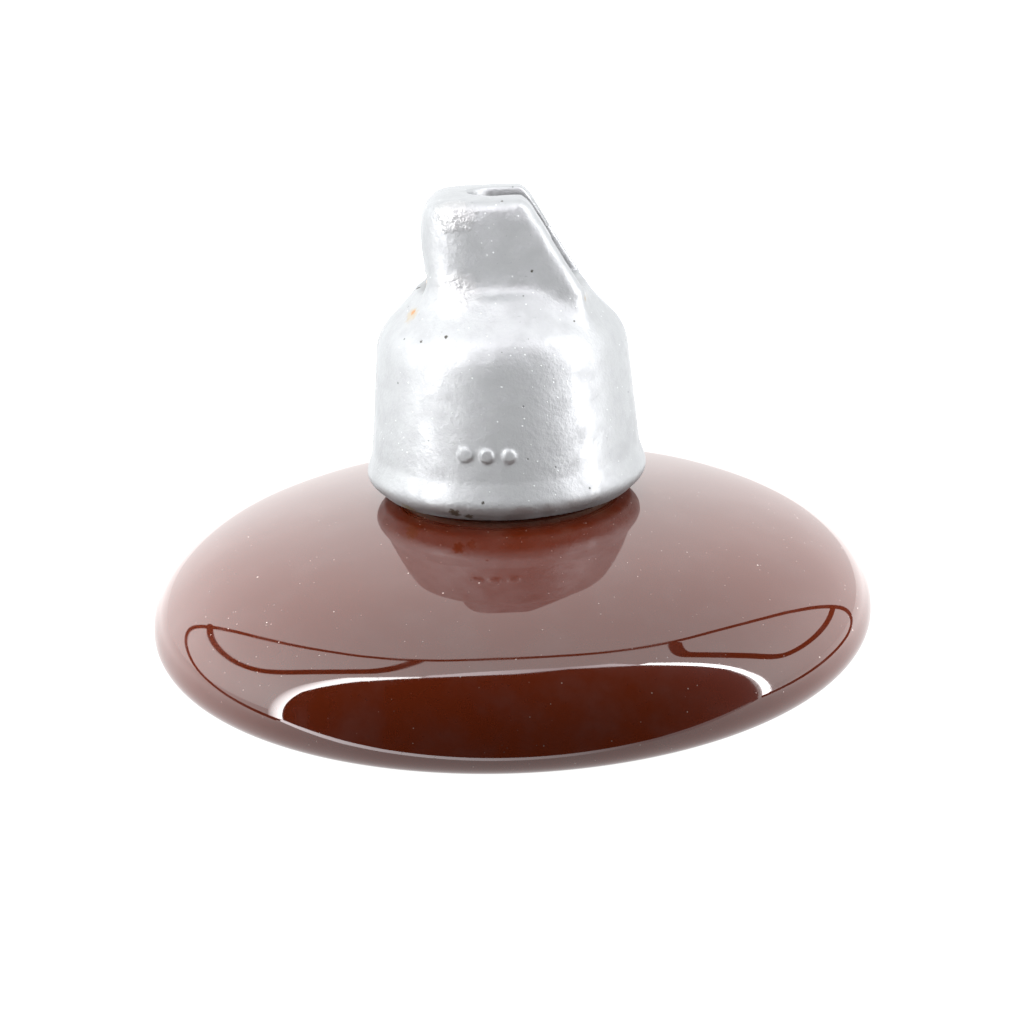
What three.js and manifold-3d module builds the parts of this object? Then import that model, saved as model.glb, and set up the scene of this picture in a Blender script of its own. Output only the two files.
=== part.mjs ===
// A cap-and-pin disc insulator for an overhead line string, in millimetres, +Z up.
//
// The unit hangs from the ball of the unit above, which slides into the socket of its iron cap from
// the side (+X). A locking clip lies on the socket's floor, under that ball. The cap is cemented over
// the head of a glazed porcelain shell, and a forged pin is cemented into the bore of the same head.
// The pin ends in the ball that carries the next unit. The origin is at the centre of the ball's flat
// end, on the axis of the unit.

import * as THREE from "three";
import { mergeVertices } from "three/addons/utils/BufferGeometryUtils.js";
import Module from "manifold-3d";

const wasm = await Module();
wasm.setup();

// ---- Driving dimensions ----------------------------------------------------------------------

const DISC_RADIUS = 127.5;
const SPACING = 146; // from the socket's seat down to the ball's shoulder
const BALL_RADIUS = 16.65;
const BALL_HEIGHT = 13.4;
const SHANK_RADIUS = 8.4;
const LIP_HEIGHT = 11.6; // iron over the socket's seat
const FIT = 0.3; // clearance between neighbouring solids
const COAT = 0.6; // thickness of a bitumen coat
const GRIT = 1; // thickness of a fired-on sand band

const SEAT_Z = BALL_HEIGHT + SPACING;
const TOP_Z = SEAT_Z + LIP_HEIGHT;

// The shell's glazed top: a low cone plus a rounded crown, down to its widest circle.
const EQUATOR_Z = 24.5;
const CONE_RISE = 16;
const CROWN_RISE = 30;
const CROWN_POWER = 5;
const RIM_RADIUS = 10.5;
const RIM_Z = EQUATOR_Z - RIM_RADIUS;

const HEAD_RADIUS = 34.5;
const HEAD_TOP_Z = 118;
const HEAD_EDGE = 9; // fillet round the head's top
const HEAD_BAND = { low: 74, high: 107 };
const BORE_RADIUS = 22;
const BORE_TOP_Z = 104;
const BORE_BAND = { low: 48, high: 92 };
const BOSS_Z = 34; // lower end of the bore

const CAP_EDGE_Z = 67;
const CAP_BORE_TOP_Z = 125;
const HOOD_HALF_WIDTH = 25;
const HOOD_BACK = 27.2;
const HOOD_FOOT_Z = 122; // inside the bell

const SOCKET_RADIUS = 17.25;
const SOCKET_FLOOR_Z = 138.4;
const ENTRY_TOP_Z = SEAT_Z - 4.5; // the ball has to drop this far before it can slide out
const NECK_RADIUS = 9.6;

const WIRE_RADIUS = 2.2;
const CLIP_CLEARANCE = 0.35;
const POCKET_TOP_Z = SOCKET_FLOOR_Z + 2 * WIRE_RADIUS + 1;
const POCKET_BACK = -17.5;
const WINDOW_HALF_WIDTH = 13.4;

const PIN_TOP_Z = 96;
const PIN_CEMENT_Z = 37; // the cement's open face around the shank
const CUSHION = 3; // thickness of both cork cushions
const HEAD_CUSHION_RADIUS = 24;
const PIN_CUSHION_RADIUS = 13;

const DISC_SEGMENTS = 40;
const ROUND_SEGMENTS = 28;
const MERGE_DISTANCE = 1e-4;
const PAST = 20; // how far a cutter runs past the iron

// ---- Outlines --------------------------------------------------------------------------------

// Points along an arc, angles in degrees.
function arc(centre, radius, from, to, steps) {
  return Array.from({ length: steps + 1 }, (_, i) => {
    const angle = THREE.MathUtils.degToRad(from + ((to - from) * i) / steps);
    return [centre[0] + radius * Math.cos(angle), centre[1] + radius * Math.sin(angle)];
  });
}

// One corner replaced with an arc that touches both of its sides.
function fillet(previous, [x, y, radius], next, steps) {
  const corner = new THREE.Vector2(x, y);
  const back = new THREE.Vector2(previous[0], previous[1]).sub(corner).normalize();
  const ahead = new THREE.Vector2(next[0], next[1]).sub(corner).normalize();
  const half = Math.acos(back.dot(ahead)) / 2;
  const centre = back.clone().add(ahead).setLength(radius / Math.sin(half)).add(corner);
  const start = back.clone().multiplyScalar(radius / Math.tan(half)).add(corner);
  const turn = -Math.sign(back.cross(ahead)) * (Math.PI - 2 * half);
  return Array.from({ length: steps + 1 }, (_, i) => {
    const point = start.clone().rotateAround(centre, (turn * i) / steps);
    return [point.x, point.y];
  });
}

// An open line through corners [x, y, fillet radius]; a corner without a radius stays sharp.
function rounded(corners, steps) {
  return corners.flatMap((corner, i) => {
    const inner = i > 0 && i < corners.length - 1;
    if (!inner || !corner[2]) return [[corner[0], corner[1]]];
    return fillet(corners[i - 1], corner, corners[i + 1], steps);
  });
}

function shapeOf(points) {
  return new THREE.Shape(points.map(([x, y]) => new THREE.Vector2(x, y)));
}

// ---- Solids ----------------------------------------------------------------------------------

function solidOf(geometry) {
  const bare = geometry.clone();
  bare.deleteAttribute("normal");
  bare.deleteAttribute("uv");
  const merged = mergeVertices(bare, MERGE_DISTANCE);
  const corners = merged.index.array;
  const kept = [];
  for (let i = 0; i < corners.length; i += 3) {
    const [a, b, c] = corners.slice(i, i + 3);
    if (a !== b && b !== c && c !== a) kept.push(a, b, c);
  }
  const mesh = new wasm.Mesh({
    numProp: 3,
    vertProperties: merged.attributes.position.array,
    triVerts: Uint32Array.from(kept),
  });
  return new wasm.Manifold(mesh);
}

function geometryOf(solid) {
  const mesh = solid.getMesh();
  const geometry = new THREE.BufferGeometry();
  const corners = Float32Array.from(mesh.vertProperties);
  geometry.setAttribute("position", new THREE.BufferAttribute(corners, 3));
  geometry.setIndex(new THREE.BufferAttribute(Uint32Array.from(mesh.triVerts), 1));
  geometry.computeVertexNormals();
  return geometry;
}

// A solid of revolution. Its outline [r, z] runs anticlockwise and starts and ends on the axis.
function turned(outline, segments = ROUND_SEGMENTS) {
  const points = outline.map(([r, z]) => new THREE.Vector2(r, z));
  return solidOf(new THREE.LatheGeometry(points, segments).rotateX(Math.PI / 2));
}

// A ring. Its outline closes on itself.
function turnedRing(outline, segments = ROUND_SEGMENTS) {
  return turned([...outline, outline[0]], segments);
}

function drum(radius, low, high) {
  return turned([[0, low], [radius, low], [radius, high], [0, high]]);
}

function sleeve(inner, outer, low, high) {
  return turnedRing([[inner, low], [outer, low], [outer, high], [inner, high]]);
}

// A box between two corners.
function block(low, high) {
  const size = high.map((h, i) => h - low[i]);
  const middle = high.map((h, i) => (h + low[i]) / 2);
  return solidOf(new THREE.BoxGeometry(...size).translate(...middle));
}

// A flat outline made into a bar of the given length, half of it on each side of the drawing plane.
function bar(points, length) {
  const geometry = new THREE.ExtrudeGeometry(shapeOf(points), { depth: length, bevelEnabled: false });
  return geometry.translate(0, 0, -length / 2);
}

// ---- Porcelain shell -------------------------------------------------------------------------

// Height of the glazed top at radius r.
function domeHeight(r) {
  const share = Math.min(r / DISC_RADIUS, 1);
  const crown = CROWN_RISE * Math.sqrt(1 - share ** CROWN_POWER);
  return EQUATOR_Z + crown + CONE_RISE * (1 - share);
}

// The dome from its widest circle in to the foot of the head, closer together where it curves most.
function dome(steps) {
  const foot = HEAD_RADIUS + 8;
  return Array.from({ length: steps }, (_, i) => {
    const turn = (Math.PI / 2) * (1 - (i + 1) / steps) ** 1.15;
    const r = foot + (DISC_RADIUS - foot) * Math.sin(turn);
    return [r, domeHeight(r)];
  });
}

// The underside from the bore out to the rim: a boss, then three ribs between grooves.
function underside() {
  return rounded([
    [BORE_RADIUS, BORE_BAND.low],
    [BORE_RADIUS, BOSS_Z, 1],
    [31, BOSS_Z, 3.5],
    [34.5, 47, 5],
    [44, 47, 5],
    [47.5, 29, 3],
    [53.5, 29, 3],
    [57, 44.5, 5],
    [66, 44.5, 5],
    [69.5, 26, 3],
    [75.5, 26, 3],
    [79, 41, 5],
    [87.5, 41, 5],
    [91, 23.5, 3],
    [97, 23.5, 3],
    [100.5, 36.5, 4],
    [107.5, 36.5, 5],
    [112, RIM_Z, 3],
    [DISC_RADIUS - RIM_RADIUS, RIM_Z],
  ], 2);
}

function porcelainShell() {
  const bore = rounded([
    [0, BORE_TOP_Z],
    [BORE_RADIUS, BORE_TOP_Z, 8],
    [BORE_RADIUS, BORE_BAND.low],
  ], 3);
  const rim = arc([DISC_RADIUS - RIM_RADIUS, EQUATOR_Z], RIM_RADIUS, -90, 0, 5);
  const head = rounded([
    [HEAD_RADIUS + 8, domeHeight(HEAD_RADIUS + 8)],
    [HEAD_RADIUS, domeHeight(HEAD_RADIUS), 2.5],
    [HEAD_RADIUS, HEAD_TOP_Z, HEAD_EDGE],
    [0, HEAD_TOP_Z],
  ], 3);
  const top = [...dome(12), ...head.slice(1)];
  return turned([...bore, ...underside().slice(1), ...rim.slice(1), ...top], DISC_SEGMENTS);
}

// ---- Iron cap --------------------------------------------------------------------------------

// The cap's inner wall from height `low` to the axis, or a lining's surface `inset` inside it.
function capBore(inset, low) {
  const top = CAP_BORE_TOP_Z - inset;
  return rounded([
    [40 - inset, low],
    [40 - inset, 71],
    [41.6 - inset, 77],
    [40.4 - inset, 96],
    [38.6 - inset, 99],
    [38 - inset, 114, 8],
    [30 - inset, top, 8],
    [0, top],
  ], 2);
}

// The bell: open edge, bead, tapering wall, shoulder and the hollow curve up to the hood.
function bell() {
  return turned(rounded([
    [0, CAP_EDGE_Z],
    [44.6, CAP_EDGE_Z, 1.2],
    [49.3, 74.2, 4.5],
    [46.9, 81.5, 3],
    [42.7, 123.2, 18],
    [25.6, 140.3, 9],
    [25.2, 150],
    [0, 150],
  ], 4), DISC_SEGMENTS);
}

// The hood: what an outline seen from the side, one from above and one from the front share.
function hood() {
  const side = bar(rounded([
    [-25.4, HOOD_FOOT_Z],
    [-25.4, 142, 20],
    [-HOOD_BACK - 0.4, 158, 30],
    [-24.6, TOP_Z, 9],
    [8.8, TOP_Z, 3],
    [27.8, 138.3],
    [27.8, HOOD_FOOT_Z],
  ], 4), 2 * PAST + 2 * HOOD_HALF_WIDTH).rotateX(Math.PI / 2);
  const above = bar(rounded([
    [PAST + HOOD_BACK, -HOOD_HALF_WIDTH],
    [-HOOD_BACK, -HOOD_HALF_WIDTH, 12],
    [-HOOD_BACK, HOOD_HALF_WIDTH, 12],
    [PAST + HOOD_BACK, HOOD_HALF_WIDTH],
  ], 5), 2 * (TOP_Z + PAST));
  const front = bar(rounded([
    [HOOD_HALF_WIDTH, 0],
    [HOOD_HALF_WIDTH, 163],
    [HOOD_HALF_WIDTH - 1.5, TOP_Z - 1, 6],
    [0, TOP_Z + 0.4, 60],
    [1.5 - HOOD_HALF_WIDTH, TOP_Z - 1, 6],
    [-HOOD_HALF_WIDTH, 163],
    [-HOOD_HALF_WIDTH, 0],
  ], 4), 4 * HOOD_BACK).rotateX(Math.PI / 2).rotateZ(Math.PI / 2);
  return solidOf(side).intersect(solidOf(above)).intersect(solidOf(front));
}

// What the socket keeps open: seat, the ball's way in, neck slot, the clip's pocket and its window.
function socketCutters() {
  const far = HOOD_BACK + PAST;
  const neckLow = ENTRY_TOP_Z - 1;
  return [
    drum(SOCKET_RADIUS, SOCKET_FLOOR_Z, SEAT_Z),
    block([0, -SOCKET_RADIUS, SOCKET_FLOOR_Z], [far, SOCKET_RADIUS, ENTRY_TOP_Z]),
    drum(NECK_RADIUS, neckLow, TOP_Z + PAST),
    block([0, -NECK_RADIUS, neckLow], [far, NECK_RADIUS, TOP_Z + PAST]),
    block([POCKET_BACK, -SOCKET_RADIUS, SOCKET_FLOOR_Z], [0, SOCKET_RADIUS, POCKET_TOP_Z]),
    block([-far, -WINDOW_HALF_WIDTH, SOCKET_FLOOR_Z], [0, WINDOW_HALF_WIDTH, POCKET_TOP_Z]),
  ];
}

function socketCap() {
  const below = CAP_EDGE_Z - PAST;
  const lining = turned([[0, below], ...capBore(0, below)], DISC_SEGMENTS);
  const iron = bell().add(hood()).subtract(lining);
  return socketCutters().reduce((solid, cutter) => solid.subtract(cutter), iron);
}

// ---- What holds cap and shell together -------------------------------------------------------

function capCoat() {
  const low = CAP_EDGE_Z + 1;
  return turned([...capBore(FIT + COAT, low).reverse(), ...capBore(FIT, low)]);
}

function headCushion() {
  const low = HEAD_TOP_Z + FIT;
  return drum(HEAD_CUSHION_RADIUS, low, low + CUSHION);
}

// Cement between the cap's coat and the head, shaped round the sand band and the cushion.
function capCement() {
  const low = domeHeight(HEAD_RADIUS) + FIT;
  const plain = HEAD_RADIUS + FIT;
  const banded = plain + GRIT + FIT;
  const cushion = HEAD_CUSHION_RADIUS + FIT;
  const inside = rounded([
    [0, HEAD_TOP_Z + CUSHION + 2 * FIT],
    [cushion, HEAD_TOP_Z + CUSHION + 2 * FIT],
    [cushion, HEAD_TOP_Z + FIT],
    [plain, HEAD_TOP_Z + FIT, HEAD_EDGE],
    [plain, HEAD_BAND.high + FIT],
    [banded, HEAD_BAND.high + FIT],
    [banded, HEAD_BAND.low - FIT],
    [plain, HEAD_BAND.low - FIT],
    [plain, low + 3],
    [plain + 3, low],
    [38.5, low],
  ], 3);
  return turned([...inside, ...capBore(COAT + 2 * FIT, CAP_EDGE_Z + 1)]);
}

// ---- Pin and what holds it -------------------------------------------------------------------

// The pin's side from the shank up over its conical head, `grown` outside the steel.
function pinSide(grown) {
  return rounded([
    [SHANK_RADIUS + grown, 44],
    [SHANK_RADIUS + grown, 52, 20],
    [10.4 + grown, 70, 12],
    [15.4 + grown, 89, 5],
    [14.6 + grown, 94],
  ], 2);
}

function ballPin() {
  const ball = rounded([
    [0, 0],
    [11, 0, 3],
    [BALL_RADIUS, 3.8, 4.5],
    [BALL_RADIUS, 9.6, 3.5],
    [13.2, BALL_HEIGHT, 1.5],
    [SHANK_RADIUS, BALL_HEIGHT, 1],
    [SHANK_RADIUS, 44],
  ], 3);
  return turned([...ball, ...pinSide(0).slice(1), [14, PIN_TOP_Z], [0, PIN_TOP_Z]]);
}

function pinCoat() {
  const low = PIN_CEMENT_Z - 2;
  const outside = [[SHANK_RADIUS + FIT + COAT, low], ...pinSide(FIT + COAT)];
  const inside = [[SHANK_RADIUS + FIT, low], ...pinSide(FIT)];
  return turnedRing([...outside, ...inside.reverse()]);
}

function pinCushion() {
  const low = PIN_TOP_Z + FIT;
  return drum(PIN_CUSHION_RADIUS, low, low + CUSHION);
}

// Cement between the pin's coat and the bore, closed over the cushion.
function pinCement() {
  const plain = BORE_RADIUS - FIT;
  const banded = plain - GRIT - FIT;
  const grown = COAT + 2 * FIT;
  const outside = rounded([
    [SHANK_RADIUS + grown, PIN_CEMENT_Z],
    [plain, PIN_CEMENT_Z],
    [plain, BORE_BAND.low - FIT],
    [banded, BORE_BAND.low - FIT],
    [banded, BORE_BAND.high + FIT],
    [plain, BORE_BAND.high + FIT],
    [plain, BORE_TOP_Z - FIT, 8],
    [0, BORE_TOP_Z - FIT],
  ], 3);
  const inside = [
    [0, PIN_TOP_Z + CUSHION + 2 * FIT],
    [14 + grown, PIN_TOP_Z + CUSHION + 2 * FIT],
    ...pinSide(grown).reverse(),
  ];
  return turned([...inside, ...outside]);
}

// ---- Locking clip ----------------------------------------------------------------------------

// A wire bent into a W on the socket's floor: hooked arms, two bends in the window behind them and a
// middle lobe under the ball.
function lockingClip() {
  const half = rounded([
    [2.2, 14.9],
    [-2.6, 10.6, 3],
    [-22.4, 10.6, 3],
    [-22.4, 4.4, 3],
    [-12, 3.6, 6],
    [-0.4, 6, 4.4],
    [-0.4, 0],
  ], 5);
  const other = half.slice(0, -1).reverse().map(([x, y]) => [x, -y]);
  const z = SOCKET_FLOOR_Z + CLIP_CLEARANCE + WIRE_RADIUS;
  const line = [...half, ...other].map(([x, y]) => new THREE.Vector3(x, y, z));
  const extrudePath = new THREE.CatmullRomCurve3(line, false, "centripetal");
  const wire = shapeOf(arc([0, 0], WIRE_RADIUS, 0, 324, 9));
  return solidOf(new THREE.ExtrudeGeometry(wire, { steps: 56, bevelEnabled: false, extrudePath }));
}

// ---- The unit --------------------------------------------------------------------------------

function finish(color, roughness, metalness) {
  return new THREE.MeshStandardMaterial({ color, roughness, metalness });
}

const glaze = finish(0x5a2318, 0.06, 0);
const galvanised = finish(0xb9bdc0, 0.42, 0.9);
const cement = finish(0xa39c8c, 0.95, 0);
const grit = finish(0x8a6a58, 1, 0);
const bitumen = finish(0x17140f, 0.55, 0);
const cork = finish(0x9a7449, 0.9, 0);
const bronze = finish(0xb08d57, 0.35, 1);

const insulator = new THREE.Group();

function add(name, solid, surface) {
  const mesh = new THREE.Mesh(geometryOf(solid), surface);
  mesh.name = name;
  insulator.add(mesh);
}

const headWall = HEAD_RADIUS + FIT;
const boreWall = BORE_RADIUS - FIT;

add("porcelain_shell", porcelainShell(), glaze);
add("head_sand_band", sleeve(headWall, headWall + GRIT, HEAD_BAND.low, HEAD_BAND.high), grit);
add("bore_sand_band", sleeve(boreWall - GRIT, boreWall, BORE_BAND.low, BORE_BAND.high), grit);
add("socket_cap", socketCap(), galvanised);
add("cap_bitumen_coat", capCoat(), bitumen);
add("cap_cement", capCement(), cement);
add("head_cushion", headCushion(), cork);
add("ball_pin", ballPin(), galvanised);
add("pin_bitumen_coat", pinCoat(), bitumen);
add("pin_cement", pinCement(), cement);
add("pin_end_cushion", pinCushion(), cork);
add("locking_clip", lockingClip(), bronze);

export default insulator;
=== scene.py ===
"""A cap-and-pin porcelain insulator in an open white light tent.

Every piece is a fine mesh built from formulas in the row frame, and takes the place of its coarser
CAD node: turned shapes are lathed, the iron cap is a signed distance field, the clip is a swept
wire. Lengths are written in millimetres and scaled to metres when a mesh is made.
"""

import math

import bpy
import numpy as np
from mathutils import Matrix


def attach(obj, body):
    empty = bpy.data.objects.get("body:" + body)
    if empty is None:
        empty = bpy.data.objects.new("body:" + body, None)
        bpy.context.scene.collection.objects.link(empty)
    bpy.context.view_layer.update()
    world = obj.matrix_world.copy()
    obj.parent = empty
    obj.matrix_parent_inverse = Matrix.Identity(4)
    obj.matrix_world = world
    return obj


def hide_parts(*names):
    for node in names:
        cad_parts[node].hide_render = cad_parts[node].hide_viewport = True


MM = 0.001

# ---- Driving dimensions, the same as the CAD's ------------------------------------------------

DISC_RADIUS = 127.5
BALL_RADIUS = 16.65
BALL_HEIGHT = 13.4
SHANK_RADIUS = 8.4
SEAT_Z = 159.4
TOP_Z = 171.0
FIT = 0.3
COAT = 0.6
GRIT = 1.0

EQUATOR_Z = 24.5
RIM_RADIUS = 10.5
RIM_Z = EQUATOR_Z - RIM_RADIUS
DOME_BULGE = 30
DOME_POWER = 5
DOME_CONE = 16
HEAD_RADIUS = 34.5
DOME_FOOT = HEAD_RADIUS + 8
HEAD_TOP_Z = 118.0
HEAD_EDGE = 9.0
HEAD_BAND = (74.0, 107.0)
BORE_RADIUS = 22.0
BORE_TOP_Z = 104.0
BORE_BAND = (48.0, 92.0)
BOSS_Z = 34.0

CAP_EDGE_Z = 67.0
CAP_BORE_TOP_Z = 125.0
HOOD_HALF_WIDTH = 25.0
HOOD_BACK = 27.2
SOCKET_RADIUS = 17.25
SOCKET_FLOOR_Z = 138.4
ENTRY_TOP_Z = SEAT_Z - 4.5
NECK_RADIUS = 9.6
WIRE_RADIUS = 2.2
CLIP_Z = SOCKET_FLOOR_Z + 0.35 + WIRE_RADIUS
POCKET_TOP_Z = SOCKET_FLOOR_Z + 2 * WIRE_RADIUS + 1
POCKET_BACK = -17.5
WINDOW_HALF_WIDTH = 13.4

PIN_TOP_Z = 96.0
PIN_CEMENT_Z = 37.0
CUSHION = 3.0
HEAD_CUSHION_RADIUS = 24.0
PIN_CUSHION_RADIUS = 13.0

CAP_STEP = 0.85  # grid of the cap's distance field
CAP_GRID_LOW = (-53, -53, 62)
CAP_GRID_HIGH = (53, 53, 176)
FILLET_STEPS = 6
WIRE_SIDES = 20
WIRE_END_ANGLES = (80, 55, 30)  # rings that round the wire's ends

# ---- Finishes: base colours, linear red, green and blue ---------------------------------------

GLAZE = (0.052, 0.0068, 0.0014)
GLAZE_PALE = (0.061, 0.0090, 0.0023)
GLAZE_DEEP = (0.030, 0.0038, 0.0010)
DUST = (0.50, 0.42, 0.38)
HANDLING_FILM = (0.26, 0.16, 0.11)
HAZE = (0.30, 0.24, 0.24)
CAP_ZINC = (0.325, 0.334, 0.341)
CAP_ZINC_EDGE = (0.92, 0.93, 0.94)
PIN_ZINC = (0.33, 0.335, 0.34)
ZINC_DIRT = (0.20, 0.15, 0.10)
WELD = (0.46, 0.45, 0.44)
# Painted shade for the inside of the socket.
SOCKET_PAINTED_SHADE = (0.10, 0.10, 0.10)
RUST = (0.36, 0.20, 0.10)
SOOT = (0.06, 0.055, 0.05)
TAN = (0.29, 0.25, 0.20)
CEMENT = (0.40, 0.37, 0.29)
CEMENT_DARK = (0.26, 0.235, 0.18)
CEMENT_PORE = (0.12, 0.11, 0.09)
BITUMEN = (0.012, 0.011, 0.010)
GRIT_LIGHT = (0.30, 0.20, 0.15)
GRIT_DARK = (0.16, 0.09, 0.06)
CORK = (0.36, 0.22, 0.11)
CORK_DARK = (0.20, 0.11, 0.05)
BRONZE = (0.60, 0.38, 0.18)
BRONZE_TARNISH = (0.28, 0.17, 0.09)

# ---- Light and camera -------------------------------------------------------------------------

OPENING_Y = -146.0  # the plane of the tent's open front
FILL_RADIANCE = 1.02  # a weak light low in the opening, for the cap alone
FILL_SIZE = (0.40, 0.18)
FILL_PLACE = (0.05, -0.142, 0.09)
ROOM_COLOR = (1, 0.88, 1)
ROOM_GLOW = 0.3
LAMP_LEFT_COLOR = (1, 0.985, 0.99)
LAMP_LEFT_GLOW = 17
LAMP_RIGHT_COLOR = (1, 0.985, 1)
LAMP_RIGHT_GLOW = 24
SILL_COLOR = (1, 0.97, 1)
SILL_GLOW = 9
CLOTH_COLOR = (1, 0.96, 1)
CLOTH_GLOW = 7
HOOP_COLOR = (1, 0.9, 0.85)
HOOP_GLOW = 0.05
FLOOR_HALF = 3000
FLOOR_DROP = 0.0002
FLOOR_COLOR = (0.12, 0.12, 0.12)
FLOOR_GLOW_WITH_PAINTED_SHADE = (0.11, 0.32, 1.0, 2.0)  # metres from the axis, and the glow at each; the lower glow near the axis is painted shade round the object
TENT_SHARES = [(0.0, 0.68), (0.2, 0.78), (0.45, 0.84), (0.75, 0.81)]  # direction's height, share
TENT_DEPTH = (-0.4, 0.8, 3.4, 2.5)  # the back of the tent is dimmer than its front
TENT_SIDES = (0.38, -0.2)  # the sides are brighter than the middle, the left most
CAMERA_PLACE = (0.0012, -0.577, 0.2509)
CAMERA_DOWN = 18.68
CAMERA_ROLL = -2.19
LENS = 60.1
SENSOR_WIDTH = 36

# ---- Outlines ---------------------------------------------------------------------------------


def arc(centre, radius, start, end, steps):
    """Points along an arc, angles in degrees."""
    angles = np.radians(np.linspace(start, end, steps + 1))
    return [(centre[0] + radius * math.cos(a), centre[1] + radius * math.sin(a)) for a in angles]


def fillet(previous, corner, following, steps):
    """The points of an arc that replaces a corner (x, y, radius)."""
    at = np.array(corner[:2], float)
    back = np.array(previous[:2], float) - at
    ahead = np.array(following[:2], float) - at
    back /= np.linalg.norm(back)
    ahead /= np.linalg.norm(ahead)
    half = math.acos(float(np.clip(back @ ahead, -1, 1))) / 2
    middle = back + ahead
    centre = at + middle / np.linalg.norm(middle) * corner[2] / math.sin(half)
    spoke = at + back * corner[2] / math.tan(half) - centre
    turn = -np.sign(back[0] * ahead[1] - back[1] * ahead[0]) * (math.pi - 2 * half)
    points = []
    for a in np.linspace(0, turn, steps + 1):
        c, s = math.cos(a), math.sin(a)
        points.append((centre[0] + c * spoke[0] - s * spoke[1], centre[1] + s * spoke[0] + c * spoke[1]))
    return points


def rounded(corners, steps=FILLET_STEPS):
    """An open line through corners, with those that have a radius rounded."""
    points = []
    for i, corner in enumerate(corners):
        if 0 < i < len(corners) - 1 and len(corner) == 3:
            points += fillet(corners[i - 1], corner, corners[i + 1], steps)
        else:
            points.append(tuple(corner[:2]))
    return points


def subdivided(points, longest):
    """The same line with its long stretches cut into shorter ones."""
    result = [points[0]]
    for a, b in zip(points, points[1:]):
        cuts = max(1, math.ceil(math.dist(a, b) / longest))
        result += [tuple(np.array(a) + (np.array(b) - a) * k / cuts) for k in range(1, cuts + 1)]
    return result


# ---- Meshes -----------------------------------------------------------------------------------


def make_object(name, points, faces, sharp_angle=40):
    """A smooth-shaded object from points in millimetres."""
    mesh = bpy.data.meshes.new(name)
    mesh.from_pydata([tuple(p) for p in np.asarray(points) * MM], [], [tuple(map(int, f)) for f in faces])
    mesh.validate()
    mesh.shade_smooth()
    mesh.set_sharp_from_angle(angle=math.radians(sharp_angle))
    item = bpy.data.objects.new(name, mesh)
    bpy.context.scene.collection.objects.link(item)
    return item


def smooth_noise(points, wavelength, seed, waves=14):
    """A smooth random field of about unit size: a sum of plane waves in seeded directions."""
    rng = np.random.default_rng(seed)
    total = np.zeros(len(points))
    for _ in range(waves):
        way = rng.normal(size=3)
        way *= 2 * math.pi / (wavelength * rng.uniform(0.7, 1.5) * np.linalg.norm(way))
        total += np.sin(points @ way + rng.uniform(0, 2 * math.pi))
    return total / math.sqrt(waves / 2)


def turned(name, outline, segments, longest=4.0, shape=None):
    """A solid of revolution. The outline (r, z) runs anticlockwise, from axis to axis or closed."""
    closed = outline[0] == outline[-1]
    line = subdivided(outline, longest)
    if closed:
        line = line[:-1]
    line = np.array(line)
    angles = np.linspace(0, 2 * math.pi, segments, endpoint=False)
    r, z = line[:, 0][:, None], line[:, 1][:, None]
    grid = np.stack([r * np.cos(angles), r * np.sin(angles), z + 0 * angles], axis=-1)
    points = grid.reshape(-1, 3)
    count = len(line)
    faces = []
    for i in range(count if closed else count - 1):
        j = (i + 1) % count
        for k in range(segments):
            m = (k + 1) % segments
            ring = [i * segments + k, i * segments + m, j * segments + m, j * segments + k]
            if line[i, 0] < 1e-6:
                ring = [i * segments, ring[2], ring[3]]
            elif line[j, 0] < 1e-6:
                ring = [ring[0], ring[1], j * segments]
            faces.append(ring)
    used = sorted({v for face in faces for v in face})
    renumber = {v: n for n, v in enumerate(used)}
    points = points[used]
    if shape is not None:
        points = shape(points)
    return make_object(name, points, [[renumber[v] for v in face] for face in faces])


def roughened(low, high, amount, wavelength, seed):
    """Pushes the points between two heights up and down at random."""

    def shape(points):
        band = (points[:, 2] > low) & (points[:, 2] < high)
        moved = points.copy()
        moved[band, 2] += amount * smooth_noise(points[band], wavelength, seed)
        return moved

    return shape


# ---- Porcelain shell --------------------------------------------------------------------------


def dome_height(r):
    """Height of the glazed dome at a distance from the axis: a rounded bowl on a shallow cone."""
    share = min(r / DISC_RADIUS, 1)
    return EQUATOR_Z + DOME_BULGE * math.sqrt(1 - share**DOME_POWER) + DOME_CONE * (1 - share)


def dome(steps):
    """The dome's outline from the rim inwards to the foot of the head, densest at the rim."""
    turns = math.pi / 2 * (1 - np.arange(1, steps + 1) / steps) ** 1.15
    radii = DOME_FOOT + (DISC_RADIUS - DOME_FOOT) * np.sin(turns)
    return [(float(r), dome_height(float(r))) for r in radii]


def underside():
    """The outline below: the boss round the bore, three ribs, and the rim."""
    return rounded([
        (BORE_RADIUS, BORE_BAND[0]),
        (BORE_RADIUS, BOSS_Z, 1),
        (31, BOSS_Z, 3.5),
        (34.5, 47, 5),
        (44, 47, 5),
        (47.5, 29, 3),
        (53.5, 29, 3),
        (57, 44.5, 5),
        (66, 44.5, 5),
        (69.5, 26, 3),
        (75.5, 26, 3),
        (79, 41, 5),
        (87.5, 41, 5),
        (91, 23.5, 3),
        (97, 23.5, 3),
        (100.5, 36.5, 4),
        (107.5, 36.5, 5),
        (112, RIM_Z, 3),
        (DISC_RADIUS - RIM_RADIUS, RIM_Z),
    ])


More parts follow.
